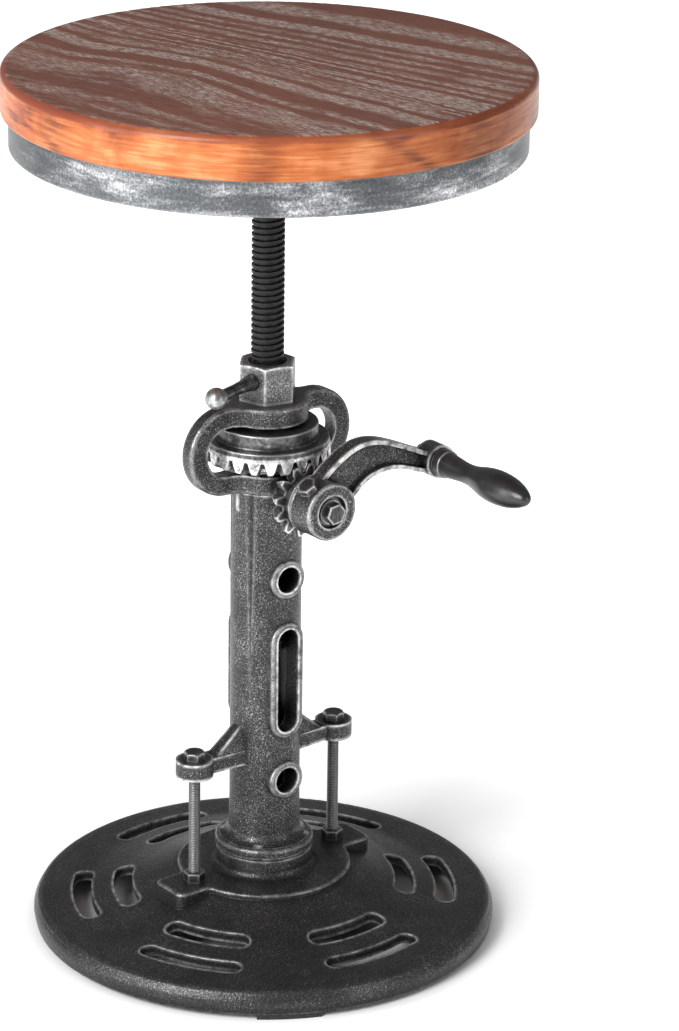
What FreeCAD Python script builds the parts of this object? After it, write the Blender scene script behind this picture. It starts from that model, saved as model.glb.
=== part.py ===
import FreeCAD, Part
import math
import os
import Sketcher

V = FreeCAD.Vector
os.makedirs("parts", exist_ok=True)
doc = FreeCAD.newDocument("machinist_stool")

# Driving dimensions
# Millimetres and degrees, origin on the floor under the column axis, +Z up.
# The crank shaft points along -Y and the column lugs lie along X.
# Heights below are measured from the underside of the base rim, which the
# foot pads hold above the floor by foot_height.
SIZES = [
    ("base_radius", 160.0, "outer radius of the base plate"),
    ("foot_height", 3.0, "height of the foot pads under the rim"),
    ("tab_top", 40.5, "height of the raised tab plate"),
    ("tab_disc_radius", 60.0, "radius of the tab plate round the hub"),
    ("tab_reach", 82.0, "half length of the tab plate along X"),
    ("tab_half_width", 15.5, "half width of each tab"),
    ("hub_radius", 33.2, "radius of the base hub"),
    ("joint_height", 53.8, "height of the joint between base and column"),
    ("slot_outer_radius", 126.5, "centre radius of the outer slots"),
    ("slot_inner_radius", 98.0, "centre radius of the inner slots"),
    ("slot_width", 13.0, "width of every slot"),
    ("flange_radius", 34.0, "radius of the column flange"),
    ("column_radius", 24.2, "outer radius of the column"),
    ("column_bore", 14.0, "radius of the column bore"),
    ("column_top", 319.0, "top of the column, under the yoke"),
    ("rod_offset", 59.3, "distance of the tie bolts from the axis"),
    ("lug_top", 131.5, "top of the column lugs"),
    ("lug_radius", 12.9, "radius of the lug rings"),
    ("lug_depth", 12.0, "thickness of the lug rings"),
    ("hole_radius", 9.2, "radius of the round holes in the column"),
    ("hole_rim_radius", 13.7, "outer radius of the rims round them"),
    ("rim_face", 26.2, "distance of the rim faces from the axis"),
    ("upper_hole_height", 256.8, "height of the upper round hole"),
    ("lower_hole_height", 109.3, "height of the lower round hole"),
    ("long_slot_height", 183.1, "height of the middle of the long slot"),
    ("long_slot_span", 58.2, "distance between its end centres"),
    ("shaft_height", 320.0, "height of the crank shaft and cone apex"),
    ("yoke_half_length", 66.5, "half length of the yoke loop"),
    ("yoke_height", 61.0, "height of the yoke loop"),
    ("yoke_strip", 14.0, "thickness of the yoke loop above and below"),
    ("yoke_side", 14.0, "thickness of the yoke loop at its ends"),
    ("yoke_width", 11.4, "width of the yoke loop"),
    ("yoke_disc_radius", 27.5, "radius of the yoke discs"),
    ("screw_radius", 11.11, "outer radius of the lift screw thread"),
    ("screw_pitch", 4.233, "pitch of the lift screw"),
    ("screw_bottom", 200.0, "lower end of the lift screw at rest"),
    ("screw_shoulder", 545.0, "top of the lift screw collar"),
    ("gear_pitch_radius", 42.0, "pitch radius of the bevel gear"),
    ("pinion_pitch_radius", 21.0, "pitch radius of the pinion"),
    ("gear_teeth", 24.0, "teeth on the bevel gear"),
    ("pinion_teeth", 12.0, "teeth on the pinion"),
    ("gear_rim_radius", 42.9, "outer radius of the toothed rim"),
    ("gear_step_radius", 34.6, "radius of the gear's upper step"),
    ("crank_hub_radius", 19.8, "radius of the crank hub"),
    ("crank_face", 73.3, "distance of the crank hub face from the axis"),
    ("arm_width", 12.0, "thickness of the crank arm"),
    ("arm_middle", 56.6, "distance of the arm's middle plane from the axis"),
    ("handle_reach", 97.2, "sideways offset of the grip axis"),
    ("handle_rise", 13.0, "rise of the grip axis above the shaft"),
    ("boss_radius", 11.4, "radius of the crank's end boss"),
    ("collar_flats", 35.6, "width across flats of the hexagon collar"),
    ("collar_top", 406.2, "top of the hexagon collar"),
    ("lock_height", 395.3, "height of the lock screw axis"),
    ("lock_direction", -161.0, "azimuth of the lock screw"),
    ("seat_radius", 175.0, "radius of the wood disc"),
    ("seat_top", 608.0, "height of the seat top"),
    ("seat_thickness", 29.0, "thickness of the wood disc"),
    ("ring_radius", 169.8, "outer radius of the seat hoop"),
    ("ring_height", 24.0, "height of the seat hoop"),
    ("ring_wall", 4.0, "thickness of the seat hoop"),
]

sheet = doc.addObject("Spreadsheet::Sheet", "Sizes")
for row, (name, value, meaning) in enumerate(SIZES, start=1):
    sheet.set("A%d" % row, name)
    sheet.set("B%d" % row, str(value))
    sheet.set("C%d" % row, meaning)
    sheet.setAlias("B%d" % row, name)
doc.recompute()


class Dim:
    """A number from the sheet that remembers the formula it came from."""

    def __init__(self, value, text):
        self.value = float(value)
        self.text = text

    def _join(self, other, sign, swap=False):
        a, b = (as_dim(other), self) if swap else (self, as_dim(other))
        work = {"+": a.value + b.value, "-": a.value - b.value, "*": a.value * b.value}
        value = a.value / b.value if sign == "/" else work[sign]
        return Dim(value, "(%s %s %s)" % (a.text, sign, b.text))

    def __add__(self, other):
        return self._join(other, "+")

    def __radd__(self, other):
        return self._join(other, "+", True)

    def __sub__(self, other):
        return self._join(other, "-")

    def __rsub__(self, other):
        return self._join(other, "-", True)

    def __mul__(self, other):
        return self._join(other, "*")

    def __rmul__(self, other):
        return self._join(other, "*", True)

    def __truediv__(self, other):
        return self._join(other, "/")

    def __neg__(self):
        return Dim(-self.value, "(0 - %s)" % self.text)


def as_dim(x):
    return x if isinstance(x, Dim) else Dim(x, "%.6f" % x)


def num(x):
    return x.value if isinstance(x, Dim) else float(x)


def size(name):
    return Dim(sheet.get(name), "Sizes.%s" % name)


S = {name: size(name) for name, value, meaning in SIZES}


# Helpers for bodies and sketches
def bind(obj, path, x):
    """Set a property to a number and tie it to the sheet when it comes from there."""
    setattr(obj, path, num(x))
    if isinstance(x, Dim):
        obj.setExpression(path, x.text)


def new_body(label, placement=None):
    """Body whose frame is given from the rim's underside, foot_height above the floor."""
    body = doc.addObject("PartDesign::Body", label)
    body.Label = label
    body.AllowCompound = True
    datum = FreeCAD.Placement(V(0, 0, num(S["foot_height"])), FreeCAD.Rotation())
    body.Placement = datum.multiply(placement or FreeCAD.Placement())
    if placement is None:
        body.setExpression("Placement.Base.z", S["foot_height"].text)
    return body


def plane_of(body, role):
    for feature in body.Origin.OriginFeatures:
        if feature.Role == role:
            return feature
    raise ValueError(role)


def new_sketch(body, role="XZ_Plane", at=(0, 0, 0), turn=None):
    """Sketch on one of the body's own planes; at and turn shift it within that plane's frame."""
    sketch = body.newObject("Sketcher::SketchObject", body.Label + "_sketch")
    sketch.AttachmentSupport = [(plane_of(body, role), "")]
    sketch.MapMode = "FlatFace"
    offset = FreeCAD.Placement(V(*[num(c) for c in at]), turn or FreeCAD.Rotation())
    sketch.AttachmentOffset = offset
    for axis, c in zip("xyz", at):
        if isinstance(c, Dim):
            sketch.setExpression("AttachmentOffset.Base." + axis, c.text)
    return sketch


def fix_point(sketch, geo, end, x, y):
    """Tie one end of a line or arc, or a circle's centre, to a place in the sketch."""
    for kind, c in (("DistanceX", x), ("DistanceY", y)):
        index = sketch.addConstraint(Sketcher.Constraint(kind, -1, 1, geo, end, num(c)))
        if isinstance(c, Dim):
            sketch.setExpression("Constraints[%d]" % index, c.text)


def fix_radius(sketch, geo, r):
    index = sketch.addConstraint(Sketcher.Constraint("Radius", geo, num(r)))
    if isinstance(r, Dim):
        sketch.setExpression("Constraints[%d]" % index, r.text)


def add_outline(sketch, corners):
    """Closed outline through corners (x, y) or (x, y, rounding radius)."""
    count = len(corners)
    runs = []
    for i in range(count):
        x, y = corners[i][0], corners[i][1]
        r = num(corners[i][2]) if len(corners[i]) > 2 else 0.0
        here = V(num(x), num(y), 0)
        before = V(num(corners[i - 1][0]), num(corners[i - 1][1]), 0) - here
        after = V(num(corners[(i + 1) % count][0]), num(corners[(i + 1) % count][1]), 0) - here
        if r <= 0:
            runs.append([(x, y)])
            continue
        before.normalize()
        after.normalize()
        half = before.getAngle(after) / 2.0
        reach = r / math.tan(half)
        middle = (before + after).normalize()
        bulge = here + middle * (r / math.sin(half) - r)
        ends = [(as_dim(x) + reach * d.x, as_dim(y) + reach * d.y) for d in (before, after)]
        runs.append([ends[0], ends[1], bulge, r])
    for i in range(count):
        start = runs[i]
        if len(start) > 1:
            p, q, bulge, r = start
            tip_p, tip_q = (V(num(c[0]), num(c[1]), 0) for c in (p, q))
            turns_left = (bulge - tip_p).cross(tip_q - bulge).z > 0
            arc = Part.Arc(tip_p, bulge, tip_q) if turns_left else Part.Arc(tip_q, bulge, tip_p)
            geo = sketch.addGeometry(arc, False)
            fix_point(sketch, geo, 1 if turns_left else 2, p[0], p[1])
            fix_point(sketch, geo, 2 if turns_left else 1, q[0], q[1])
            leave = q
        else:
            leave = start[0]
        goal = runs[(i + 1) % count][0]
        gap = math.hypot(num(goal[0]) - num(leave[0]), num(goal[1]) - num(leave[1]))
        if gap > 1e-6:
            a = V(num(leave[0]), num(leave[1]), 0)
            b = V(num(goal[0]), num(goal[1]), 0)
            geo = sketch.addGeometry(Part.LineSegment(a, b), False)
            fix_point(sketch, geo, 1, leave[0], leave[1])
            fix_point(sketch, geo, 2, goal[0], goal[1])


def add_circle(sketch, x, y, r):
    geo = sketch.addGeometry(Part.Circle(V(num(x), num(y), 0), V(0, 0, 1), num(r)), False)
    fix_point(sketch, geo, 3, x, y)
    fix_radius(sketch, geo, r)


def add_hexagon(sketch, flats, turn=0.0):
    points = []
    for k in range(6):
        a = math.radians(60 * k + turn)
        points.append((flats * (math.cos(a) / math.sqrt(3)), flats * (math.sin(a) / math.sqrt(3))))
    add_outline(sketch, points)


def revolve(body, corners, groove=False, role="XZ_Plane", at=(0, 0, 0), turn=None):
    """Turn a profile of (radius, height) corners about the sketch's upright axis."""
    sketch = new_sketch(body, role, at, turn)
    add_outline(sketch, corners)
    kind = "PartDesign::Groove" if groove else "PartDesign::Revolution"
    feature = body.newObject(kind, body.Label + ("_groove" if groove else "_turned"))
    feature.Profile = sketch
    feature.ReferenceAxis = (sketch, ["V_Axis"])
    feature.Angle = 360.0
    return feature


def pad(body, sketch, length, middle=False, back=False, cut=False, through=False):
    kind = "PartDesign::Pocket" if cut else "PartDesign::Pad"
    feature = body.newObject(kind, body.Label + ("_cut" if cut else "_pad"))
    feature.Profile = sketch
    if through:
        feature.Type = "ThroughAll"
    else:
        bind(feature, "Length", length)
    feature.Midplane = middle
    feature.Reversed = back
    return feature


def repeat(body, features, count):
    """Repeat features round the body's own Z axis."""
    pattern = body.newObject("PartDesign::PolarPattern", body.Label + "_pattern")
    pattern.Originals = features
    pattern.Axis = (plane_of(body, "Z_Axis"), [""])
    pattern.Angle = 360.0
    pattern.Occurrences = count
    body.Tip = pattern
    return pattern


def round_edges(body, radius, test, chamfer=False):
    """Round or chamfer the edges of the body's shape that the test picks."""
    doc.recompute()
    base = body.Tip
    names = []
    for i, edge in enumerate(base.Shape.Edges, start=1):
        if test(edge):
            names.append("Edge%d" % i)
    if not names:
        raise ValueError("no edge found on " + body.Label)
    kind = "PartDesign::Chamfer" if chamfer else "PartDesign::Fillet"
    feature = body.newObject(kind, body.Label + "_edges")
    feature.Base = (base, names)
    if chamfer:
        feature.Size = radius
    else:
        feature.Radius = radius
    doc.recompute()
    return feature


def hex_pad(body, flats, low, high, turn=0.0, at=(0, 0), rounded=True):
    """Hexagon prism between two heights with its upper corners turned off."""
    sketch = new_sketch(body, "XY_Plane", (at[0], at[1], low), FreeCAD.Rotation(V(0, 0, 1), turn))
    add_hexagon(sketch, as_dim(flats))
    made = [pad(body, sketch, as_dim(high) - low)]
    if rounded:
        corner = num(flats) / math.sqrt(3)
        inner = num(flats) / 2 - 0.2
        drop = (corner + 1 - inner) * 0.35
        profile = [(inner, high), (corner + 1, as_dim(high) - drop), (corner + 1, high)]
        made.append(revolve(body, profile, True, "XZ_Plane", (at[0], 0, 0)))
    return made


def polar(r, degrees):
    a = math.radians(degrees)
    return V(r * math.cos(a), r * math.sin(a), 0)


def spline(points):
    curve = Part.BSplineCurve()
    curve.interpolate([V(num(x), num(y), 0) for x, y in points])
    return curve


# Base plate: a domed casting with twelve arc slots, a tab plate and a hub
base = new_body("base_plate")
edge_r = S["base_radius"]
revolve(base, [
    (20.1, S["joint_height"] - 0.05), (S["hub_radius"], S["joint_height"] - 0.05, 1.2),
    (S["hub_radius"] + 0.6, S["tab_top"] + 0.6, 4.5), (40.0, S["tab_top"] - 0.3),
    (58.0, S["tab_top"] - 3.2), (64.0, 35.6, 8), (84.0, 28.6, 60), (100.0, 24.0, 60),
    (122.0, 19.2, 60), (150.0, 17.4, 30), (edge_r - 4.0, 16.6, 5), (edge_r + 0.5, 9.0, 9),
    (edge_r - 1.4, 0.0, 1.2), (154.0, 0.0, 0.8), (152.5, 8.5, 3), (122.0, 12.2, 60),
    (98.0, 17.2, 60), (66.0, 26.5, 20), (58.0, 28.0), (20.1, 28.0)])
plate = new_sketch(base, "XY_Plane", (0, 0, 26.0))
neck = 7.0
half = S["tab_half_width"]
reach = S["tab_reach"]
disc = S["tab_disc_radius"]
neck_x = math.sqrt((num(disc) + neck) ** 2 - (num(half) + neck) ** 2)
touch_a = math.atan2(num(half) + neck, neck_x)
for side in (1, -1):
    for far in (1, -1):
        corner = V(side * num(reach), far * num(half), 0)
        bend = V(side * neck_x, far * (num(half) + neck), 0)
        low = bend + V(0, -far * neck, 0)
        touch = V(side * math.cos(touch_a), far * math.sin(touch_a), 0) * num(disc)
        middle = ((low - bend).normalize() + (touch - bend).normalize()).normalize() * neck + bend
        plate.addGeometry(Part.Arc(touch, middle, low), False)
        round_off = 5.0
        stop = corner + V(-side * round_off, 0, 0)
        plate.addGeometry(Part.LineSegment(low, stop), False)
        turn_mid = corner + V(-side * round_off * 0.293, -far * round_off * 0.293, 0)
        plate.addGeometry(Part.Arc(stop, turn_mid, corner + V(0, -far * round_off, 0)), False)
    top = V(side * num(reach), num(half) - round_off, 0)
    bottom = V(side * num(reach), -num(half) + round_off, 0)
    plate.addGeometry(Part.LineSegment(top, bottom), False)
for far in (1, -1):
    ends = [V(s * math.cos(touch_a), far * math.sin(touch_a), 0) * num(disc) for s in (1, -1)]
    plate.addGeometry(Part.Arc(ends[0], V(0, far * num(disc), 0), ends[1]), False)
pad(base, plate, S["tab_top"] - 26.0)


def plate_rim(edge):
    box = edge.BoundBox
    flat = abs(box.ZMin - num(S["tab_top"])) < 0.01 and abs(box.ZMax - num(S["tab_top"])) < 0.01
    return flat and max(abs(box.XMin), abs(box.XMax), abs(box.YMax), abs(box.YMin)) > 45


round_edges(base, 1.4, plate_rim)
revolve(base, [
    (0, 20.0), (12.0, 20.0), (12.0, 39.8), (20.1, 39.8), (20.1, 60.0), (0, 60.0)], True)
for radius, half_angle in ((S["slot_outer_radius"], 16.8), (S["slot_inner_radius"], 18.0)):
    slot = new_sketch(base, "XY_Plane", (0, 0, -1.0))
    r0 = num(radius)
    w = num(S["slot_width"]) / 2
    end = half_angle - math.degrees(w / r0)
    corners = [polar(r0 - w, 30 - end), polar(r0 - w, 30 + end), polar(r0 + w, 30 + end)]
    corners.append(polar(r0 + w, 30 - end))
    slot.addGeometry(Part.Arc(corners[0], polar(r0 - w, 30), corners[1]), False)
    slot.addGeometry(Part.Arc(corners[1], polar(r0, 30 + half_angle), corners[2]), False)
    slot.addGeometry(Part.Arc(corners[2], polar(r0 + w, 30), corners[3]), False)
    slot.addGeometry(Part.Arc(corners[3], polar(r0, 30 - half_angle), corners[0]), False)
    cut = pad(base, slot, 40.0, cut=True, back=True)
    repeat(base, [cut], 6)
holes = new_sketch(base, "XY_Plane", (0, 0, 20.0))
for side in (1, -1):
    add_circle(holes, side * S["rod_offset"], 0, 4.05)
for k in range(4):
    spot = polar(26.8, 45 + 90 * k)
    add_circle(holes, spot.x, spot.y, 3.3)
pad(base, holes, 40.0, cut=True, back=True)

# Foot pads: three arcs of rubber under the rim
pads = new_body("foot_pads")
for k in range(3):
    pad_sketch = new_sketch(pads, "XY_Plane")
    a, b = 120 * k - 8.0, 120 * k + 8.0
    outer, inner = num(edge_r) - 2.0, num(edge_r) - 12.0
    c = [polar(inner, a), polar(inner, b), polar(outer, b), polar(outer, a)]
    pad_sketch.addGeometry(Part.Arc(c[0], polar(inner, (a + b) / 2), c[1]), False)
    pad_sketch.addGeometry(Part.LineSegment(c[1], c[2]), False)
    pad_sketch.addGeometry(Part.Arc(c[2], polar(outer, (a + b) / 2), c[3]), False)
    pad_sketch.addGeometry(Part.LineSegment(c[3], c[0]), False)
    pad(pads, pad_sketch, S["foot_height"], back=True)

# Column: hollow casting with a flange, two bolt lugs and rimmed openings
column = new_body("column")
r_col = S["column_radius"]
top_z = S["column_top"]
joint = S["joint_height"]
revolve(column, [
    (0, 40.0), (19.95, 40.0, 1), (19.95, joint), (S["flange_radius"] - 0.8, joint),
    (S["flange_radius"], joint + 1.2), (S["flange_radius"], joint + 7.6, 3.2),
    (31.0, joint + 8.4), (r_col + 0.6, joint + 9.2, 7.5), (r_col, joint + 40.0), (r_col, top_z),
    (0, top_z)])
lug_low = S["lug_top"] - S["lug_depth"]
ring = new_sketch(column, "XY_Plane", (0, 0, lug_low))
add_circle(ring, S["rod_offset"], 0, S["lug_radius"])
ring_pad = pad(column, ring, S["lug_depth"])
web = new_sketch(column, "XY_Plane", (0, 0, lug_low + 0.6))
add_outline(web, [(15.0, -8.8), (S["rod_offset"] - 12.0, -6.8), (S["rod_offset"] - 8.0, -6.6),
                  (S["rod_offset"] - 8.0, 6.6), (S["rod_offset"] - 12.0, 6.8), (15.0, 8.8)])
web_pad = pad(column, web, S["lug_depth"] - 1.2)
gussets = []
for out, foot_half, ridge_half, ridge in ((15.0, 8.8, 3.6, 24.0), (44.6, 6.7, 5.0, -0.65)):
    gusset = new_sketch(column, "YZ_Plane", (0, 0, out))
    add_outline(gusset, [(-foot_half, S["lug_top"] - 2.0), (foot_half, S["lug_top"] - 2.0),
                         (ridge_half, S["lug_top"] + ridge), (-ridge_half, S["lug_top"] + ridge)])
    gussets.append(gusset)
brace = column.newObject("PartDesign::AdditiveLoft", "lug_gusset")
brace.Profile = gussets[0]
brace.Sections = gussets[1:]
brace.Ruled = True
repeat(column, [ring_pad, web_pad, brace], 2)
rims = new_sketch(column, "XZ_Plane")
for height in (S["upper_hole_height"], S["lower_hole_height"]):
    add_circle(rims, 0, height, S["hole_rim_radius"])
add_outline(rims, [(-13.2, S["long_slot_height"] - S["long_slot_span"] / 2 - 13.2, 13.19),
                   (13.2, S["long_slot_height"] - S["long_slot_span"] / 2 - 13.2, 13.19),
                   (13.2, S["long_slot_height"] + S["long_slot_span"] / 2 + 13.2, 13.19),
                   (-13.2, S["long_slot_height"] + S["long_slot_span"] / 2 + 13.2, 13.19)])
pad(column, rims, S["rim_face"] * 2, middle=True)
stub = new_sketch(column, "XZ_Plane", (0, 0, 15.8))
add_circle(stub, 0, S["shaft_height"], 10.0)
pad(column, stub, 15.7)


def rim_corner(edge):
    box = edge.BoundBox
    flat = box.YLength < 0.01 and abs(abs(box.YMin) - num(S["rim_face"])) < 0.01
    return flat


round_edges(column, 1.6, rim_corner)
openings = new_sketch(column, "XZ_Plane")
for height in (S["upper_hole_height"], S["lower_hole_height"]):
    add_circle(openings, 0, height, S["hole_radius"])
add_outline(openings, [(-8.5, S["long_slot_height"] - S["long_slot_span"] / 2 - 8.5, 8.49),
                       (8.5, S["long_slot_height"] - S["long_slot_span"] / 2 - 8.5, 8.49),
                       (8.5, S["long_slot_height"] + S["long_slot_span"] / 2 + 8.5, 8.49),
                       (-8.5, S["long_slot_height"] + S["long_slot_span"] / 2 + 8.5, 8.49)])
pad(column, openings, 80.0, middle=True, cut=True)


def flute_outline(sketch, azimuth, shift):
    """Crease between two rounded shoulders, moved outward by shift and closed outside the column."""
    outer = num(r_col)
    shoulder, centre, lean = 8.0, outer - 7.7, math.radians(16.0)
    depth = centre * math.cos(lean) + math.sqrt(shoulder ** 2 - (centre * math.sin(lean)) ** 2)
    meet = lean - math.acos((outer ** 2 + centre ** 2 - shoulder ** 2) / (2 * outer * centre))
    turn = FreeCAD.Rotation(V(0, 0, 1), azimuth)
    crease = V(depth, 0, 0)
    ends = []
    for side in (1, -1):
        middle = V(centre * math.cos(lean), side * centre * math.sin(lean), 0)
        end = V(outer * math.cos(meet), side * outer * math.sin(meet), 0)
        way = ((crease - middle) + (end - middle)).normalize() * shoulder + middle
        mouth = V(outer + 4.0, end.y, 0)
        points = [turn.multVec(c + V(shift, 0, 0)) for c in (crease, way, end, mouth)]
        sketch.addGeometry(Part.Arc(*points[:3]), False)
        sketch.addGeometry(Part.LineSegment(points[2], points[3]), False)
        ends.append(points[3])
    sketch.addGeometry(Part.LineSegment(*ends), False)


for azimuth in (28.0, 152.0, 208.0, 332.0):
    wide = new_sketch(column, "XY_Plane", (0, 0, top_z + 0.5))
    flute_outline(wide, azimuth, 0.0)
    narrow = new_sketch(column, "XY_Plane", (0, 0, top_z - 165.0))
    flute_outline(narrow, azimuth, 1.9)
    flute = column.newObject("PartDesign::SubtractiveLoft", "column_flute")
    flute.Profile = narrow
    flute.Sections = [wide]
revolve(column, [(0, 30.0), (S["column_bore"], 30.0), (S["column_bore"], top_z + 12.0),
                 (0, top_z + 12.0)], True)
small = new_sketch(column, "XY_Plane", (0, 0, lug_low - 4.0))
for side in (1, -1):
    add_circle(small, side * S["rod_offset"], 0, 4.3)
pad(column, small, 30.0, cut=True, back=True)

# Fasteners of the base: four screws with washers up into the flange, two tie bolts with nuts
def hex_bolt(label, flats, head_low, head_high, shank_r, shank_end, at=(0, 0), placement=None,
             turn=0.0, copies=1):
    """Hexagon bolt with its head from head_low to head_high and its shank down to shank_end."""
    body = new_body(label, placement)
    made = hex_pad(body, flats, head_low, head_high, turn, at)
    tip = [(0, shank_end), (num(shank_r) - 0.8, shank_end), (shank_r, as_dim(shank_end) + 0.8),
           (shank_r, as_dim(head_low) + 0.5), (0, as_dim(head_low) + 0.5)]
    made.append(revolve(body, tip, at=(at[0], 0, 0)))
    if copies > 1:
        repeat(body, made, copies)
    return body


def washer(label, inner, outer, low, high, placement=None):
    body = new_body(label, placement)
    revolve(body, [(inner, low), (outer, low, 0.3), (outer, high, 0.3), (inner, high)])
    return body


bolt_r = 26.8
flip = FreeCAD.Rotation(V(1, 0, 0), 180)
under = FreeCAD.Placement(V(0, 0, 24.3), FreeCAD.Rotation(V(0, 0, 1), 45).multiply(flip))
column_screws = hex_bolt("column_screws", 10.0, 0.05, 4.1, 2.95, -34.0, (bolt_r, 0), under, copies=4)
washers = new_body("column_washers", under)
made = [revolve(washers, [(3.2, -1.65), (6.0, -1.65), (6.0, 0), (3.2, 0)], at=(bolt_r, 0, 0))]
repeat(washers, made, 4)
tapped = new_sketch(column, "XY_Plane", (0, 0, 50.0))
for k in range(4):
    spot = polar(bolt_r, 45 + 90 * k)
    add_circle(tapped, spot.x, spot.y, 3.0)
pad(column, tapped, 11.0, cut=True, back=True)

tie_bolts = hex_bolt("tie_bolts", 13.0, S["lug_top"] + 0.05, S["lug_top"] + 5.6, 3.95, 27.0,
                     (S["rod_offset"], 0), copies=2, turn=12.0)
tie_nuts = new_body("tie_nuts")
made = hex_pad(tie_nuts, 13.0, S["tab_top"] + 0.05, S["tab_top"] + 6.8, 20.0, (S["rod_offset"], 0))
made.append(revolve(tie_nuts, [(0, 30.0), (4.05, 30.0), (4.05, 60.0), (0, 60.0)], True,
                    at=(S["rod_offset"], 0, 0)))
repeat(tie_nuts, made, 2)

# Yoke: a loop with a round disc at its top and bottom, bored for the lift screw
yoke = new_body("gear_yoke")
yoke_top = top_z + S["yoke_height"]
strip = S["yoke_strip"]
long_half = S["yoke_half_length"]
round_r = S["yoke_height"] / 2
loop = new_sketch(yoke, "XZ_Plane")
add_outline(loop, [(-long_half, top_z, num(round_r) - 0.01), (long_half, top_z, num(round_r) - 0.01),
                   (long_half, yoke_top, num(round_r) - 0.01),
                   (-long_half, yoke_top, num(round_r) - 0.01)])
inner_r = num(round_r) - num(strip) - 0.01
side_w = S["yoke_side"]
add_outline(loop, [(side_w - long_half, top_z + strip, inner_r),
                   (long_half - side_w, top_z + strip, inner_r),
                   (long_half - side_w, yoke_top - strip, inner_r),
                   (side_w - long_half, yoke_top - strip, inner_r)])
pad(yoke, loop, S["yoke_width"], middle=True)


def blend_outline(sketch, disc_r, half_w, blend, far):
    """Disc with two straight arms along X, joined by concave arcs."""
    bend_x = math.sqrt((disc_r + blend) ** 2 - (half_w + blend) ** 2)
    angle = math.atan2(half_w + blend, bend_x)
    for up in (1, -1):
        ends = []
        for side in (1, -1):
            bend = V(side * bend_x, up * (half_w + blend), 0)
            touch = V(side * math.cos(angle), up * math.sin(angle), 0) * disc_r
            low = V(side * bend_x, up * half_w, 0)
            middle = ((low - bend).normalize() + (touch - bend).normalize()).normalize() * blend
            sketch.addGeometry(Part.Arc(touch, bend + middle, low), False)
            sketch.addGeometry(Part.LineSegment(low, V(side * far, up * half_w, 0)), False)
            ends.append(touch)
        sketch.addGeometry(Part.Arc(ends[0], V(0, up * disc_r, 0), ends[1]), False)
    for side in (1, -1):
        sketch.addGeometry(Part.LineSegment(V(side * far, half_w, 0), V(side * far, -half_w, 0)), False)


for level in (top_z, yoke_top - strip):
    disc_sketch = new_sketch(yoke, "XY_Plane", (0, 0, level))
    blend_outline(disc_sketch, num(S["yoke_disc_radius"]), num(S["yoke_width"]) / 2, 12.0,
                  num(long_half) - num(round_r) - 0.5)
    pad(yoke, disc_sketch, strip)


def yoke_corner(edge, inside):
    """True for the loop's inner or outer corners."""
    box = edge.BoundBox
    mid = edge.valueAt((edge.FirstParameter + edge.LastParameter) / 2)
    side_face = abs(abs(mid.y) - num(S["yoke_width"]) / 2) < 0.01
    end_x = abs(mid.x) - num(long_half) + num(round_r)
    if side_face and end_x > 0 and box.ZLength > 1:
        reach = math.hypot(end_x, mid.z - num(top_z) - num(round_r))
        return inside == (reach < num(round_r) - 6)
    flat = box.ZLength < 0.01 and abs(mid.y) > 1 and box.XLength > 1
    outer_face = abs(mid.z - num(yoke_top)) < 0.3 or abs(mid.z - num(top_z)) < 0.3
    return flat and outer_face != inside


round_edges(yoke, 2.2, lambda edge: yoke_corner(edge, False))
round_edges(yoke, 1.0, lambda edge: yoke_corner(edge, True))
bore = new_sketch(yoke, "XY_Plane", (0, 0, top_z - 5.0))
add_circle(bore, 0, 0, S["column_bore"] + 0.02)
pad(yoke, bore, strip + 10.0, cut=True, back=True)
bore = new_sketch(yoke, "XY_Plane", (0, 0, yoke_top - strip - 5.0))
add_circle(bore, 0, 0, 12.0)
pad(yoke, bore, strip + 10.0, cut=True, back=True)
notch = new_sketch(yoke, "XZ_Plane", (0, 0, 15.5))
add_circle(notch, 0, S["shaft_height"], 10.3)
pad(yoke, notch, 20.0, cut=True, back=True)
screw_x = 19.6
for side in (1, -1):
    revolve(yoke, [(0, top_z - 2.0), (2.7, top_z - 2.0), (2.7, top_z + strip - 2.6),
                   (5.3, top_z + strip), (5.3, top_z + strip + 1), (0, top_z + strip + 1)], True,
            at=(side * screw_x, 0, 0))
sunk = new_sketch(column, "XY_Plane", (0, 0, top_z + 1.0))
for side in (1, -1):
    add_circle(sunk, side * screw_x, 0, 2.55)
pad(column, sunk, 16.0, cut=True)
yoke_screws = new_body("yoke_screws")
made = [revolve(yoke_screws, [(0, top_z - 13.0), (2.45, top_z - 13.0), (2.45, top_z + strip - 2.7),
                              (5.0, top_z + strip - 0.15), (0, top_z + strip - 0.15)],
                at=(screw_x, 0, 0))]
repeat(yoke_screws, made, 2)

# Guide bush with its key, and the thrust washers of the gear
bush = new_body("guide_bush")
screw_r = S["screw_radius"]
revolve(bush, [(screw_r + 0.09, top_z - 19.0), (13.95, top_z - 19.0, 0.5),
               (13.95, top_z + strip - 0.1), (screw_r + 0.09, top_z + strip - 0.1)])
key = new_body("guide_key")
key_side = new_sketch(key, "XY_Plane", (0, 0, top_z - 17.0))
add_outline(key_side, [(-1.9, 9.0, 0.4), (1.9, 9.0, 0.4), (1.9, 12.6), (-1.9, 12.6)])
pad(key, key_side, 22.0)
key_slot = new_sketch(bush, "XY_Plane", (0, 0, top_z - 17.1))
add_outline(key_slot, [(-1.95, 8.0), (1.95, 8.0), (1.95, 12.7), (-1.95, 12.7)])
pad(bush, key_slot, 22.2, cut=True, back=True)
gear_low = top_z + strip + 2.05
lower_washer = washer("lower_thrust_washer", 11.9, 24.0, gear_low - 2.05, gear_low - 0.05)
gear_high = 363.7
upper_washer = washer("upper_thrust_washer", 12.2, 21.0, gear_high + 0.05, yoke_top - strip - 0.05)

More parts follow.
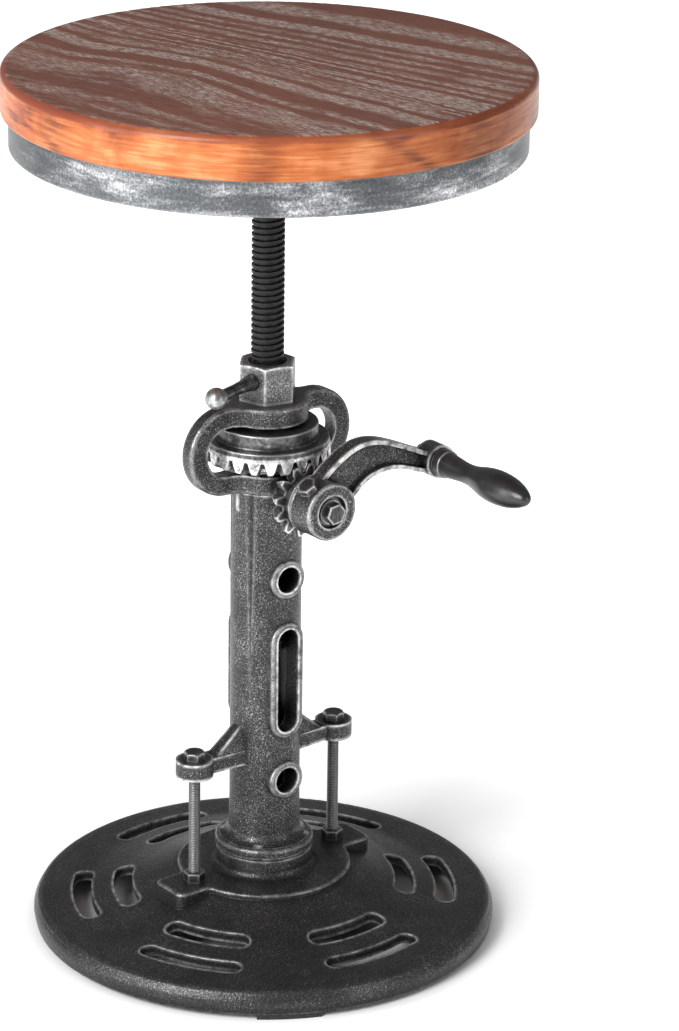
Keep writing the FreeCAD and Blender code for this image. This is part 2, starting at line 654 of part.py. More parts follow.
# Bevel gear and pinion, both cones meeting on the shaft axis
apex = S["shaft_height"]
ratio = num(S["gear_pitch_radius"]) / num(S["pinion_pitch_radius"])
gear_cone = math.atan(ratio)
pinion_cone = math.pi / 2 - gear_cone
cone_length = math.hypot(num(S["gear_pitch_radius"]), num(S["pinion_pitch_radius"]))
module = 2 * num(S["gear_pitch_radius"]) / num(S["gear_teeth"])
pressure = math.radians(25.0)
gear_add, gear_ded = 1.6, 5.2
pinion_add, pinion_ded = 4.2, 2.4
backlash = 0.30


def involute(x):
    return math.tan(x) - x


def tooth_half_widths(pitch_r, thickness, heights):
    """Half widths of an involute tooth at heights measured from the pitch circle."""
    base_r = pitch_r * math.cos(pressure)
    found = []
    for h in heights:
        r = pitch_r + h
        at_pitch = thickness / (2 * pitch_r) + involute(pressure)
        slope = math.acos(base_r / r) if r > base_r else 0.0
        angle = at_pitch - involute(slope)
        found.append((r * math.sin(angle), r * math.cos(angle) - pitch_r))
    return found


def tooth(body, cone, pitch_r, thickness, addendum, dedendum, azimuth, scales, tip):
    """One tooth lofted between two like sections whose flanks point at the cone apex.

    The tip keeps the given share of its width, and the foot flares into the root.
    """
    virtual_r = pitch_r / math.cos(cone)
    heights = (-dedendum - 0.5, -dedendum + 0.3, -dedendum / 2, 0.0, addendum * 0.4,
               addendum * 0.8, addendum)
    right = tooth_half_widths(virtual_r, thickness, heights)
    right[0] = (right[0][0] + 0.5, right[0][1])
    right[-1] = (right[-1][0] * tip, right[-1][1])
    sketches = []
    spin = FreeCAD.Rotation(V(0, 0, 1), azimuth)
    tilt = FreeCAD.Rotation(V(0, 1, 0), math.degrees(cone))
    tangent = FreeCAD.Rotation(V(0, 0, 1), 90)
    frame = spin.multiply(tilt).multiply(tangent)
    for k in scales:
        sketch = new_sketch(body, "XY_Plane", (0, 0, 0), frame)
        along = frame.multVec(V(0, 0, 1))
        sketch.AttachmentOffset = FreeCAD.Placement(along * (cone_length * k), frame)
        side_r = [V(x * k, -y * k, 0) for x, y in right]
        side_l = [V(-x * k, -y * k, 0) for x, y in right]
        for side in (side_r, side_l):
            curve = Part.BSplineCurve()
            curve.interpolate(side)
            sketch.addGeometry(curve, False)
        sketch.addGeometry(Part.LineSegment(side_r[0], side_l[0]), False)
        sketch.addGeometry(Part.LineSegment(side_r[-1], side_l[-1]), False)
        sketches.append(sketch)
    loft = body.newObject("PartDesign::AdditiveLoft", body.Label + "_tooth")
    loft.Profile = sketches[0]
    loft.Sections = sketches[1:]
    loft.Ruled = True
    return loft


gear_frame = FreeCAD.Placement(V(0, 0, num(apex)), FreeCAD.Rotation())
gear = new_body("bevel_gear", gear_frame)
rim = S["gear_rim_radius"]
step = S["gear_step_radius"]
root_slope = (num(S["pinion_pitch_radius"]) + gear_ded * math.sin(gear_cone)) / (
    num(S["gear_pitch_radius"]) - gear_ded * math.cos(gear_cone))
inner_scale = 0.79
inner_root = inner_scale * (num(S["gear_pitch_radius"]) - gear_ded * math.cos(gear_cone))
revolve(gear, [
    (16.0, gear_low - apex), (24.4, gear_low - apex, 0.6), (24.4, inner_root * root_slope),
    (inner_root, inner_root * root_slope), (rim, rim * root_slope), (rim - 1.0, 33.7, 0.8),
    (step + 0.6, 33.7), (step, 34.6), (step, gear_high - apex, 0.8), (16.0, gear_high - apex)])
pitch_tooth = math.pi * module / 2
shift = (pinion_add - gear_add) / 2 * math.tan(pressure)
gear_tooth = tooth(gear, gear_cone, num(S["gear_pitch_radius"]), pitch_tooth - shift - backlash / 2,
                   gear_add, gear_ded, -92.85, (inner_scale, 1.14), 0.8)
repeat(gear, [gear_tooth], int(num(S["gear_teeth"])))
revolve(gear, [(rim, 5.0), (rim + 14.0, 5.0), (rim + 14.0, 36.0), (rim, 36.0)], True)

nut = new_body("gear_nut")
revolve(nut, [(screw_r + 0.05, gear_low), (15.95, gear_low), (15.95, gear_high),
              (screw_r + 0.05, gear_high)])

shaft = FreeCAD.Placement(V(0, 0, num(apex)), FreeCAD.Rotation(V(1, 0, 0), 90))
pinion = new_body("pinion", shaft)
pinion_slope = (num(S["pinion_pitch_radius"]) - pinion_ded * math.cos(pinion_cone)) / (
    num(S["gear_pitch_radius"]) + pinion_ded * math.sin(pinion_cone))
back = 44.5
front = 34.4
revolve(pinion, [
    (6.0, front - 1.9), (12.0, front - 1.9, 0.5), (front * pinion_slope, front),
    (back * pinion_slope, back), (17.6, back), (17.6, 49.9, 0.4), (10.95, 49.9), (10.95, 64.0),
    (6.0, 64.0)])
pinion_tooth = tooth(pinion, pinion_cone, num(S["pinion_pitch_radius"]),
                     pitch_tooth + shift - backlash / 2, pinion_add, pinion_ded, 80.7,
                     (inner_scale, 1.2), 0.5)
repeat(pinion, [pinion_tooth], int(num(S["pinion_teeth"])))
revolve(pinion, [(25.2, 20.0), (40.0, 20.0), (40.0, 60.0), (25.2, 60.0)], True)
revolve(pinion, [(11.5, 49.9), (17.6, 49.9), (17.6, back), (40.0, back), (40.0, 60.0), (11.5, 60.0)],
        True)

# Shoulder bolt of the crank with its washer
axle = new_body("pinion_axle", shaft)
face = S["crank_face"]
revolve(axle, [(0, 15.5), (4.4, 15.5), (4.9, 16.0), (4.9, 31.55), (5.95, 31.55), (5.95, face - 1.4),
               (0, face - 1.4)])
hex_pad(axle, 13.0, face - 1.5, face + 4.8, 8.0)
seat_hole = new_sketch(column, "XZ_Plane", (0, 0, 10.0))
add_circle(seat_hole, 0, apex, 4.95)
pad(column, seat_hole, 30.0, cut=True, back=True)
axle_washer = washer("axle_washer", 6.1, 8.6, face - 2.95, face - 1.55, shaft)

# Crank: curved channelled arm, hub with a rear lip, and end boss
crank = new_body("crank_arm", shaft)
hub = S["crank_hub_radius"]
upper = [(-2.0, 18.0), (8.0, 26.8), (16.5, 32.4), (25.0, 36.4), (33.0, 38.4), (41.0, 38.6),
         (50.0, 37.0), (60.0, 33.6), (70.0, 29.4), (80.0, 24.8), (90.0, 20.6), (97.0, 18.6)]
lower = [(17.5, -7.0), (22.0, -1.0), (27.3, 3.4), (34.5, 9.2), (41.5, 12.8), (49.0, 14.5),
         (56.0, 14.9), (63.0, 14.1), (70.0, 12.1), (77.0, 9.6), (85.0, 6.9), (97.0, 4.0)]
arm_low = S["arm_middle"] - S["arm_width"] / 2


def arm_sketch(level, above, below):
    """Outline between an upper and a lower curve, closed by straight ends."""
    sketch = new_sketch(crank, "XY_Plane", (0, 0, level))
    sketch.addGeometry(spline(above), False)
    sketch.addGeometry(spline(below), False)
    for a, b in ((above[0], below[0]), (above[-1], below[-1])):
        sketch.addGeometry(Part.LineSegment(V(a[0], a[1], 0), V(b[0], b[1], 0)), False)
    return sketch


def inset(points, depth):
    """Points moved sideways, to the left of their direction, by depth."""
    moved = []
    for i in range(len(points)):
        a = points[max(i - 1, 0)]
        b = points[min(i + 1, len(points) - 1)]
        d = V(b[0] - a[0], b[1] - a[1], 0).normalize()
        moved.append((points[i][0] - d.y * depth, points[i][1] + d.x * depth))
    return moved


pad(crank, arm_sketch(arm_low, upper, lower), S["arm_width"])
wall = 2.9
roof = inset(upper, -wall)
floor = inset(lower, wall)
for level, downward in ((arm_low + S["arm_width"] - 3.8, True), (arm_low + 3.8, False)):
    pad(crank, arm_sketch(level, roof, floor), 6.0, cut=True, back=downward)
revolve(crank, [
    (7.0, 50.0), (hub - 0.6, 50.0, 0.4), (hub - 0.6, 51.2), (hub + 0.7, 51.2, 0.6),
    (hub + 0.7, 53.8, 0.6), (hub, 54.8), (hub, face, 1.6), (11.0, face, 0.6), (11.0, face - 3.0),
    (7.0, face - 3.0)])
boss = new_sketch(crank, "XY_Plane", (0, 0, arm_low))
add_circle(boss, S["handle_reach"], S["handle_rise"], S["boss_radius"])
pad(crank, boss, S["arm_width"] + 3.4)
eye = new_sketch(crank, "XY_Plane", (0, 0, 30.0))
add_circle(eye, S["handle_reach"], S["handle_rise"], 4.05)
pad(crank, eye, 60.0, cut=True, back=True)
revolve(crank, [(0, 40.0), (11.05, 40.0), (11.05, 64.2), (8.0, 64.2), (8.0, face), (0, face)], True)

# Set screw of the crank, its axis across the hub
set_height = 63.8
set_turn = FreeCAD.Rotation(V(0, 0, 1), 127).multiply(FreeCAD.Rotation(V(0, 1, 0), 90))
set_way = set_turn.multVec(V(0, 0, 1))
set_mouth = V(0, 0, set_height) + set_way * 26.0
set_hole = new_sketch(crank, "XY_Plane", tuple(set_mouth), set_turn)
add_circle(set_hole, 0, 0, 3.45)
pad(crank, set_hole, 15.5, cut=True)
set_place = shaft.multiply(FreeCAD.Placement(V(0, 0, set_height), set_turn))
set_screw = hex_bolt("crank_set_screw", 12.0, hub + 0.05, hub + 5.2, 3.4, 11.1,
                     placement=set_place, turn=17.0)

# Grip: a turned handle with a ferrule, free to spin on a stud through the end boss
handle = shaft.multiply(FreeCAD.Placement(V(num(S["handle_reach"]), num(S["handle_rise"]), 0),
                                          FreeCAD.Rotation()))
boss_face = arm_low + S["arm_width"] + 3.4
stud = new_body("grip_stud", handle)
revolve(stud, [(0, 42.0), (3.4, 42.0), (3.95, 42.6), (3.95, 147.4), (3.2, 148.0), (0, 148.0)])
stud_nut = new_body("grip_nut", handle.multiply(FreeCAD.Placement(V(0, 0, 0), flip)))
hex_pad(stud_nut, 13.0, -arm_low + 0.05, -arm_low + 6.5, 10.0)
revolve(stud_nut, [(0, -60.0), (4.05, -60.0), (4.05, -30.0), (0, -30.0)], True)
ferrule = new_body("grip_ferrule", handle)
revolve(ferrule, [(4.05, boss_face + 0.3), (9.6, boss_face + 0.3, 0.6), (9.6, boss_face + 7.8, 0.8),
                  (4.05, boss_face + 7.8)])
grip = new_body("grip", handle)
start = boss_face + 7.85
grip_side = [(8.6, num(start)), (8.3, 78.0), (7.4, 86.5), (7.0, 93.5), (7.5, 101.0), (9.2, 109.0),
             (10.8, 117.0), (11.4, 124.5), (11.2, 132.0), (10.2, 140.0), (8.3, 147.0), (5.4, 153.5),
             (2.6, 156.9), (0.0, 157.7)]
grip_sketch = new_sketch(grip)
grip_sketch.addGeometry(spline(grip_side), False)
path = [(0.0, 157.7), (0.0, 149.0), (4.0, 149.0), (4.0, num(start)), (8.6, num(start))]
for p, q in zip(path, path[1:]):
    grip_sketch.addGeometry(Part.LineSegment(V(p[0], p[1], 0), V(q[0], q[1], 0)), False)
grip_turned = grip.newObject("PartDesign::Revolution", "grip_turned")
grip_turned.Profile = grip_sketch
grip_turned.ReferenceAxis = (grip_sketch, ["V_Axis"])
grip_turned.Angle = 360.0

# Hexagon collar on the yoke with its ball-ended lock screw and brass pad
collar = new_body("hex_collar")
collar_low = yoke_top
collar_top = S["collar_top"]
hex_pad(collar, S["collar_flats"], collar_low, collar_top, 49.0)
revolve(collar, [(0, collar_low - 5.0), (11.35, collar_low - 5.0), (11.35, collar_top - 2.2),
                 (13.2, collar_top), (13.2, collar_top + 2.0), (0, collar_top + 2.0)], True)
azimuth = math.radians(num(S["lock_direction"]))
outward = V(math.cos(azimuth), math.sin(azimuth), 0)
lock_turn = FreeCAD.Rotation(V(0, 0, 1), outward)
lock_place = FreeCAD.Placement(V(0, 0, num(S["lock_height"])), lock_turn)
drilled = new_sketch(collar, "XY_Plane", (30 * outward.x, 30 * outward.y, S["lock_height"]), lock_turn)
add_circle(drilled, 0, 0, 4.0)
pad(collar, drilled, 21.0, cut=True)
lock = new_body("lock_screw", lock_place)
ball_r, ball_at = 7.4, 58.8
revolve(lock, [(0, 13.5), (3.3, 13.5), (3.9, 14.1), (3.9, 18.35), (6.0, 18.35, 0.5), (5.4, 21.0, 3),
               (4.3, 30.0, 8), (4.0, 38.0), (4.0, 55.0), (0, 55.0)])
ball = new_sketch(lock)
ball_low, ball_high = V(0, ball_at - ball_r, 0), V(0, ball_at + ball_r, 0)
ball.addGeometry(Part.Arc(ball_low, V(ball_r, ball_at, 0), ball_high), False)
ball.addGeometry(Part.LineSegment(ball_high, ball_low), False)
lock_ball = lock.newObject("PartDesign::Revolution", "lock_ball")
lock_ball.Profile = ball
lock_ball.ReferenceAxis = (ball, ["V_Axis"])
lock_ball.Angle = 360.0
lock_pad = new_body("lock_pad", lock_place)
revolve(lock_pad, [(0, 11.6), (3.6, 11.6), (3.6, 13.4), (0, 13.4)])

# Lift screw: grooved thread with a keyway, a stop ring below and a collar and journal above
lift_screw = new_body("lift_screw")
screw_low = S["screw_bottom"]
shoulder = S["screw_shoulder"]
journal_top = shoulder + 29.06
revolve(lift_screw, [
    (0, screw_low), (8.5, screw_low), (8.5, screw_low + 7.0), (screw_r - 0.6, screw_low + 7.0),
    (screw_r, screw_low + 8.0), (screw_r, shoulder - 8.0), (17.5, shoulder - 8.0, 1.0),
    (17.5, shoulder, 0.6), (9.95, shoulder), (9.95, journal_top), (7.9, journal_top),
    (7.9, journal_top + 15.0), (7.2, journal_top + 15.7), (0, journal_top + 15.7)])
pitch = S["screw_pitch"]
thread_start = screw_low + 10.0
thread = revolve(lift_screw, [
    (screw_r + 0.5, thread_start), (screw_r, thread_start + 0.1), (9.25, thread_start + 0.55),
    (9.25, thread_start + 2.1), (screw_r, thread_start + 2.55), (screw_r + 0.5, thread_start + 2.65)],
    True)
rows = int((num(shoulder) - 8.0 - num(thread_start)) / num(pitch))
turns = lift_screw.newObject("PartDesign::LinearPattern", "thread_rows")
turns.Originals = [thread]
turns.Direction = (plane_of(lift_screw, "Z_Axis"), [""])
turns.Length = num(pitch) * (rows - 1)
turns.setExpression("Length", (pitch * (rows - 1)).text)
turns.Occurrences = rows
lift_screw.Tip = turns
keyway = new_sketch(lift_screw, "XY_Plane", (0, 0, screw_low + 7.0))
add_outline(keyway, [(-2.0, 8.9), (2.0, 8.9), (2.0, 14.0), (-2.0, 14.0)])
pad(lift_screw, keyway, shoulder - screw_low - 25.0, cut=True, back=True)
low_hole = new_sketch(lift_screw, "XY_Plane", (0, 0, screw_low - 1.0))
add_circle(low_hole, 0, 0, 3.0)
pad(lift_screw, low_hole, 20.0, cut=True, back=True)
stop = new_body("stop_ring")
revolve(stop, [(8.55, screw_low), (13.2, screw_low, 0.6), (13.2, screw_low + 6.9, 0.6),
               (8.55, screw_low + 6.9)])
stop_place = FreeCAD.Placement(V(0, 0, num(screw_low)), flip)
stop_bolt = hex_bolt("stop_bolt", 10.0, 1.7, 5.7, 2.95, -15.0, placement=stop_place)
stop_washer = washer("stop_washer", 3.2, 11.5, 0.05, 1.65, stop_place)

# Swivel: washer, flanged hub, retaining washer and nut on the screw's journal
swivel_washer = washer("swivel_washer", 10.1, 17.3, shoulder + 0.05, shoulder + 2.0)
hub_body = new_body("swivel_hub")
hub_top = shoulder + 29.0
revolve(hub_body, [(10.0, shoulder + 2.05), (17.5, shoulder + 2.05, 0.6), (17.5, hub_top - 6.0, 3.0),
                   (47.0, hub_top - 6.0, 0.8), (47.0, hub_top), (10.0, hub_top)])
top_washer = washer("journal_washer", 8.1, 17.0, journal_top, journal_top + 2.5)
top_nut = new_body("journal_nut")
hex_pad(top_nut, 24.0, journal_top + 2.55, journal_top + 14.0)
revolve(top_nut, [(0, journal_top), (8.0, journal_top), (8.0, journal_top + 20.0),
                  (0, journal_top + 20.0)], True)

# Seat: cross-shaped support, hoop and wood disc with their fasteners
wood_low = S["seat_top"] - S["seat_thickness"]
cross = new_body("seat_cross")
centre = new_sketch(cross, "XY_Plane", (0, 0, hub_top))
add_circle(centre, 0, 0, 50.0)
pad(cross, centre, wood_low - hub_top)
hoop_inner = S["ring_radius"] - S["ring_wall"]
arm_end = math.sqrt(num(hoop_inner) ** 2 - 16.0 ** 2) - 0.1
for a, b in ((arm_end, 16.0), (16.0, arm_end)):
    bars = new_sketch(cross, "XY_Plane", (0, 0, hub_top))
    add_outline(bars, [(-a, -b), (a, -b), (a, b), (-a, b)])
    pad(cross, bars, wood_low - hub_top)
seat_holes = new_sketch(cross, "XY_Plane", (0, 0, hub_top - 10.0))
add_circle(seat_holes, 0, 0, 20.5)
for k in range(4):
    spot = polar(34.0, 45 + 90 * k)
    add_circle(seat_holes, spot.x, spot.y, 3.2)
    spot = polar(140.0, 90 * k)
    add_circle(seat_holes, spot.x, spot.y, 2.5)
pad(cross, seat_holes, 30.0, cut=True, back=True)
hub_holes = new_sketch(hub_body, "XY_Plane", (0, 0, hub_top - 10.0))
for k in range(4):
    spot = polar(34.0, 45 + 90 * k)
    add_circle(hub_holes, spot.x, spot.y, 3.2)
pad(hub_body, hub_holes, 30.0, cut=True, back=True)
hoop = new_body("seat_hoop")
hoop_low = wood_low - S["ring_height"]
revolve(hoop, [(hoop_inner, hoop_low, 0.8), (S["ring_radius"], hoop_low, 1.2),
               (S["ring_radius"], wood_low, 0.8), (hoop_inner, wood_low)])
wood = new_body("seat_wood")
seat_r = S["seat_radius"]
revolve(wood, [(0, wood_low), (seat_r, wood_low, 2.0), (seat_r, S["seat_top"], 5.0), (0, S["seat_top"])])
pocket = new_sketch(wood, "XY_Plane", (0, 0, wood_low - 1.0))
add_circle(pocket, 0, 0, 20.0)
pad(wood, pocket, 14.0, cut=True, back=True)
pilots = new_sketch(wood, "XY_Plane", (0, 0, wood_low - 1.0))
for k in range(4):
    spot = polar(34.0, 45 + 90 * k)
    add_circle(pilots, spot.x, spot.y, 3.0)
    spot = polar(140.0, 90 * k)
    add_circle(pilots, spot.x, spot.y, 2.25)
pad(wood, pilots, 20.5, cut=True, back=True)
eighth = FreeCAD.Rotation(V(0, 0, 1), 45)
bolt_place = FreeCAD.Placement(V(0, 0, num(hub_top) - 6.0), eighth.multiply(flip))
seat_bolts = hex_bolt("seat_bolts", 10.0, 0.05, 4.1, 2.95, -30.0, (34.0, 0), bolt_place, copies=4)
wood_screws = new_body("wood_screws")
made = [revolve(wood_screws, [(0, hub_top - 3.0), (3.4, hub_top - 3.0, 1.2), (4.6, hub_top - 0.8),
                              (4.6, hub_top - 0.05), (2.2, hub_top - 0.05), (2.2, hub_top + 20.0),
                              (0, hub_top + 23.0)], at=(140.0, 0, 0))]
repeat(wood_screws, made, 4)

# Check every object, then write one STEP file per body
doc.recompute()
for obj in doc.Objects:
    if "Invalid" in obj.State or "Error" in obj.State:
        raise RuntimeError("%s is %s" % (obj.Name, obj.State))
for obj in doc.Objects:
    if obj.TypeId == "PartDesign::Body":
        shape = obj.Shape
        if shape.isNull() or not shape.isValid():
            raise RuntimeError(obj.Label + " has no valid shape")
        print(obj.Label, len(shape.Solids), round(shape.Volume), shape.optimalBoundingBox())
        shape.exportStep("parts/" + obj.Label + ".step")
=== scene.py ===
import math

import bmesh
import bpy
from mathutils import Matrix, Vector


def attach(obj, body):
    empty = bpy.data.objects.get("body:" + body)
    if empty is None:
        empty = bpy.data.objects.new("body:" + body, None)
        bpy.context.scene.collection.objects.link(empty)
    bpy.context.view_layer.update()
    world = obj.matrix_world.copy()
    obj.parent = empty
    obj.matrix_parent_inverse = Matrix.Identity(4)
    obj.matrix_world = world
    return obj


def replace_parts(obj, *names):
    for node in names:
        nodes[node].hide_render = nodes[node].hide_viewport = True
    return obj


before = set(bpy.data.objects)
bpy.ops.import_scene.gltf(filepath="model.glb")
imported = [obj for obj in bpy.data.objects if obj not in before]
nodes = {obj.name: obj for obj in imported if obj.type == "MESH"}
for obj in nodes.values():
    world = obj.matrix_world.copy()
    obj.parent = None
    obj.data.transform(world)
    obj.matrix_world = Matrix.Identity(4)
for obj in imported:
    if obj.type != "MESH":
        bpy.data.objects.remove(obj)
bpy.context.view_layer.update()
MM = 0.001

# Heights and places of the CAD solids, in metres
ROD_X = 59.3 * MM
LUG_TOP = 134.5 * MM
SCREW_LOW = 203.0 * MM
SHOULDER = 548.0 * MM
SEAT_TOP = 611.0 * MM
SEAT_RADIUS = 175.0 * MM
GEAR_CONE_TOP = 352.6 * MM

# Directions round the column, from +X
LOCK_TURN = math.radians(-161.0)
CAMERA_TURN = math.radians(-127.0)
GRAIN_TURN = math.radians(-79.0)


# Node materials
class Shader:
    """A principled material whose textures are laid out in the object's own frame."""

    def __init__(self, name, **constants):
        self.material = bpy.data.materials.new(name)
        self.material.use_nodes = True
        self.tree = self.material.node_tree
        self.tree.nodes.clear()
        self.output = self.add("ShaderNodeOutputMaterial")
        self.bsdf = self.add("ShaderNodeBsdfPrincipled")
        self.tree.links.new(self.bsdf.outputs[0], self.output.inputs[0])
        self.coords = self.add("ShaderNodeTexCoord").outputs["Object"]
        for key, value in constants.items():
            self.bsdf.inputs[key.replace("_", " ")].default_value = value

    def add(self, kind, **settings):
        node = self.tree.nodes.new(kind)
        for key, value in settings.items():
            setattr(node, key, value)
        return node

    def put(self, value, socket):
        """Link a socket, or set a number or colour."""
        if isinstance(value, bpy.types.NodeSocket):
            self.tree.links.new(value, socket)
        else:
            socket.default_value = value

    def calc(self, operation, a, b=0.0, c=None):
        node = self.add("ShaderNodeMath", operation=operation)
        self.put(a, node.inputs[0])
        self.put(b, node.inputs[1])
        if c is not None:
            self.put(c, node.inputs[2])
        return node.outputs[0]

    def along(self, x, y, z):
        """How far a point lies along a direction, in metres."""
        node = self.add("ShaderNodeVectorMath", operation="DOT_PRODUCT")
        self.put(self.coords, node.inputs[0])
        node.inputs[1].default_value = (x, y, z)
        return node.outputs["Value"]

    def axes(self):
        return self.along(1, 0, 0), self.along(0, 1, 0), self.along(0, 0, 1)

    def join(self, x, y, z):
        node = self.add("ShaderNodeCombineXYZ")
        for socket, value in zip(node.inputs, (x, y, z)):
            self.put(value, socket)
        return node.outputs[0]

    def stretch(self, parts, scales, plane=0.0):
        """A texture place from two or three lengths, each with its own scale."""
        spread = [self.calc("MULTIPLY", part, scale) for part, scale in zip(parts, scales)]
        return self.join(*(spread + [plane])[:3])

    def noise(self, scale, detail, rough, at=None, warp=0.0):
        node = self.add("ShaderNodeTexNoise")
        self.put(self.coords if at is None else at, node.inputs["Vector"])
        node.inputs["Scale"].default_value = scale
        node.inputs["Detail"].default_value = detail
        node.inputs["Roughness"].default_value = rough
        node.inputs["Distortion"].default_value = warp
        return node.outputs[0]

    def span(self, value, low, high, to_low=0.0, to_high=1.0, smooth=False):
        node = self.add("ShaderNodeMapRange", clamp=True)
        node.interpolation_type = "SMOOTHSTEP" if smooth else "LINEAR"
        self.put(value, node.inputs[0])
        for socket, number in zip(node.inputs[1:5], (low, high, to_low, to_high)):
            socket.default_value = number
        return node.outputs[0]

    def ramp(self, factor, stops):
        node = self.add("ShaderNodeValToRGB")
        elements = node.color_ramp.elements
        while len(elements) < len(stops):
            elements.new(0.5)
        for element, (place, colour) in zip(elements, stops):
            element.position = place
            element.color = (*colour, 1.0)
        self.put(factor, node.inputs[0])
        return node.outputs[0]

    def mix(self, factor, a, b):
        node = self.add("ShaderNodeMix", data_type="RGBA")
        self.put(factor, node.inputs[0])
        for value, socket in ((a, node.inputs[6]), (b, node.inputs[7])):
            self.put((*value, 1.0) if isinstance(value, tuple) else value, socket)
        return node.outputs[2]

    def edge(self, reach, low=0.10, high=0.36):
        """1 on outer edges and corners, where the metal behind the surface is thin."""
        inner = self.add("ShaderNodeAmbientOcclusion", samples=6, inside=True, only_local=True)
        inner.inputs["Distance"].default_value = reach
        return self.span(self.calc("SUBTRACT", 1.0, inner.outputs["AO"]), low, high)

    def hump(self, value, middle, width):
        """1 at the middle, falling away over the width to each side."""
        off = self.calc("DIVIDE", self.calc("SUBTRACT", value, middle), width)
        return self.calc("EXPONENT", self.calc("MULTIPLY", self.calc("MULTIPLY", off, off), -1.0))

    def soft_normal(self, radius):
        bevel = self.add("ShaderNodeBevel", samples=4)
        bevel.inputs["Radius"].default_value = radius
        return bevel.outputs[0]

    def hollow_shade(self, distance, low=0.35, high=0.95):
        """1 in corners and holes, 0 in the open: the mask for painted shade there."""
        node = self.add("ShaderNodeAmbientOcclusion", samples=4)
        node.inputs["Distance"].default_value = distance
        return self.span(node.outputs["AO"], low, high, 1.0, 0.0)

    def bump(self, height, distance, strength, normal=None):
        node = self.add("ShaderNodeBump")
        node.inputs["Strength"].default_value = strength
        node.inputs["Distance"].default_value = distance
        self.put(height, node.inputs["Height"])
        if normal is not None:
            self.put(normal, node.inputs["Normal"])
        return node.outputs[0]

    def finish(self, colour, roughness=None, normal=None):
        for value, name in ((colour, "Base Color"), (roughness, "Roughness"), (normal, "Normal")):
            if value is not None:
                self.put(value, self.bsdf.inputs[name])
        return self.material


def grey(value):
    return (value, value, value)


def casting(name, dark, mid, fleck, shine, grain):
    """Dark painted cast iron: a grainy skin with silver flecks, silver on its edges from wear and a
    painted highlight, and painted shade in corners and holes.
    """
    s = Shader(name, Metallic=0.7)
    fine = s.noise(grain, 2.0, 0.6)
    broad = s.noise(36.0, 3.0, 0.55)
    wear = s.noise(150.0, 4.0, 0.65)
    level = s.calc("ADD", fine, s.calc("MULTIPLY", s.calc("SUBTRACT", broad, 0.5), 0.24))
    skin = s.ramp(level, [(0.40, grey(dark)), (0.56, grey(mid)), (0.67, grey(fleck)),
                          (0.79, grey(shine * 0.7))])
    # the edges turn silver: partly wear, partly a painted highlight
    edge_wear_and_highlight = s.edge(2.6 * MM, 0.10, 0.32)
    rubbed_and_highlit = s.calc("MULTIPLY", edge_wear_and_highlight, s.span(wear, 0.36, 0.58, 0.15, 1.0))
    skin = s.mix(rubbed_and_highlit, skin, grey(shine))
    # painted shade: darker in corners, near black deep in holes and slots
    skin = s.mix(s.calc("MULTIPLY", s.hollow_shade(11 * MM), 0.8), skin, grey(dark * 0.25))
    skin = s.mix(s.hollow_shade(45 * MM, 0.05, 0.42), skin, grey(0.002))
    rough = s.span(fine, 0.3, 0.7, 0.46, 0.30)
    relief = s.noise(grain * 0.5, 3.0, 0.6)
    return s.finish(skin, rough, s.bump(relief, 0.45 * MM, 0.8, s.soft_normal(0.8 * MM)))


def machined(name, dark, light, shine, streak=(0, 0, 1)):
    """Turned or cut steel with fine tool streaks along one axis, a painted highlight on its edges and
    painted shade in corners.
    """
    s = Shader(name, Metallic=0.9)
    place = s.stretch(s.axes(), [1.0 - 0.85 * share for share in streak])
    lines = s.noise(850.0, 3.0, 0.6, at=place)
    cloud = s.noise(70.0, 3.0, 0.6)
    level = s.calc("MULTIPLY_ADD", lines, 0.5, s.calc("MULTIPLY", cloud, 0.5))
    skin = s.ramp(level, [(0.40, grey(dark)), (0.60, grey(light))])
    # painted highlight on the edges
    skin = s.mix(s.calc("MULTIPLY", s.edge(1.8 * MM), 0.9), skin, grey(shine))
    # painted shade in corners and holes
    skin = s.mix(s.calc("MULTIPLY", s.hollow_shade(6 * MM), 0.8), skin, grey(0.010))
    rough = s.span(level, 0.35, 0.65, 0.44, 0.32)
    return s.finish(skin, rough, s.bump(lines, 0.08 * MM, 0.6, s.soft_normal(0.4 * MM)))


def gear_metal():
    """Dark turned hub and upper rim over a bright mottled toothed cone."""
    s = Shader("gear_metal", Metallic=0.85)
    mottle = s.noise(330.0, 4.0, 0.7)
    cloud = s.noise(60.0, 3.0, 0.55)
    level = s.calc("ADD", s.calc("MULTIPLY", mottle, 0.7), s.calc("MULTIPLY", cloud, 0.3))
    bright = s.ramp(level, [(0.40, grey(0.13)), (0.50, grey(0.48)), (0.60, grey(0.92))])
    dark = s.ramp(level, [(0.42, grey(0.045)), (0.58, grey(0.13)), (0.70, grey(0.34))])
    upper = s.span(s.along(0, 0, 1), GEAR_CONE_TOP, GEAR_CONE_TOP + 1 * MM)
    skin = s.mix(upper, bright, dark)
    # painted highlight on the edges
    skin = s.mix(s.calc("MULTIPLY", s.edge(1.6 * MM), 0.9), skin, grey(0.78))
    # painted shade in corners and between the teeth
    skin = s.mix(s.calc("MULTIPLY", s.hollow_shade(6 * MM, 0.25, 0.8), 0.85), skin, grey(0.012))
    rough = s.span(level, 0.35, 0.65, 0.44, 0.28)
    return s.finish(skin, rough, s.bump(mottle, 0.18 * MM, 0.7, s.soft_normal(0.5 * MM)))


def lock_metal():
    """Dark shank with a paler ball at its outer end."""
    s = Shader("lock_metal", Metallic=0.85)
    cloud = s.noise(240.0, 4.0, 0.65)
    shank = s.ramp(cloud, [(0.40, grey(0.04)), (0.60, grey(0.13)), (0.72, grey(0.3))])
    ball = s.ramp(cloud, [(0.38, grey(0.15)), (0.55, grey(0.34)), (0.70, grey(0.6))])
    out = s.along(math.cos(LOCK_TURN), math.sin(LOCK_TURN), 0)
    skin = s.mix(s.span(out, 49 * MM, 54 * MM), shank, ball)
    return s.finish(skin, s.span(cloud, 0.3, 0.7, 0.42, 0.3), s.bump(cloud, 0.12 * MM, 0.5))


